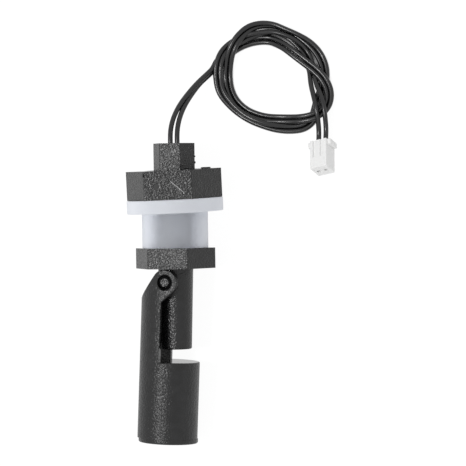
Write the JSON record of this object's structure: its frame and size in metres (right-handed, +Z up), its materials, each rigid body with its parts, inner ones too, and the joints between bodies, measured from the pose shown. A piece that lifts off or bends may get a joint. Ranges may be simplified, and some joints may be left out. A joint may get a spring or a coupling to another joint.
{
  "type": "float level switch",
  "caption": "Side-mounting float level switch: a hollow float swings on a short threaded body with a silicone wall seal and a clamp nut, on a coiled wire pair with a white plug.",
  "frame": {"origin": "bottom centre of the switch as it lies on a table, without its wires and plug", "axes": "+Z up from the table, +Y along the switch towards its wires, the float's open side faces +X, and the float swings towards -X"},
  "size_m": [0.0651, 0.1355, 0.0306],
  "materials": {
    "black_moulding": "black polypropylene, spark-eroded texture on the front, smooth at the sides",
    "nut_moulding": "black polypropylene with satin flats",
    "float_moulding": "black polypropylene, fine spark-eroded texture",
    "silicone": "translucent bluish white silicone",
    "wire_jacket": "glossy black flexible jacket",
    "plug_white": "white nylon, semi-gloss",
    "contact_metal": "tin-plated spring contact",
    "reed_glass": "clear greenish glass",
    "reed_metal": "nickel-iron blades and leads",
    "shrink_sleeve": "black shrink sleeve",
    "resin": "cast black epoxy",
    "magnet": "dark sintered ferrite"
  },
  "bodies": {
    "body": {"switch_body": "black_moulding", "reed_glass": "reed_glass", "reed_blade_upper": "reed_metal", "reed_blade_lower": "reed_metal", "lead_sleeve": "shrink_sleeve", "joint_sleeve_a": "shrink_sleeve", "joint_sleeve_b": "shrink_sleeve", "potted_wire_a": "wire_jacket", "potted_wire_b": "wire_jacket", "potting": "resin", "wire_a_lead": "wire_jacket", "wire_b_lead": "wire_jacket", "wire_coil": "wire_jacket", "wire_a_tail": "wire_jacket", "wire_b_tail": "wire_jacket", "plug_housing": "plug_white", "crimp_terminal_a": "contact_metal", "crimp_terminal_b": "contact_metal"},
    "float": {"float_shell": "float_moulding", "float_cap": "float_moulding", "float_magnet": "magnet"},
    "sleeve": {"sealing_sleeve": "silicone"},
    "nut": {"clamp_nut": "nut_moulding"}
  },
  "joints": [
    {"name": "float_swing", "type": "hinge", "parent": "body", "child": "float", "pos_m": [-0.00158, 0.00379, 0.01345], "axis": [0, 0.0807, -0.9967], "range_deg": [-12, 50]},
    {"name": "sleeve_travel", "type": "slide", "parent": "body", "child": "sleeve", "axis": [0, 0.9967, 0.0807], "range_m": [0, 0.006]},
    {"name": "nut_turn", "type": "hinge", "parent": "sleeve", "child": "nut", "pos_m": [0.00005, 0.02975, 0.01555], "axis": [-0.0297, 0.9942, 0.1032], "range_deg": [0, 1440]}
  ],
  "couplings": [
    {"joint": "sleeve_travel", "follows": "nut_turn", "m_per_rad": 0.00023873}
  ]
}
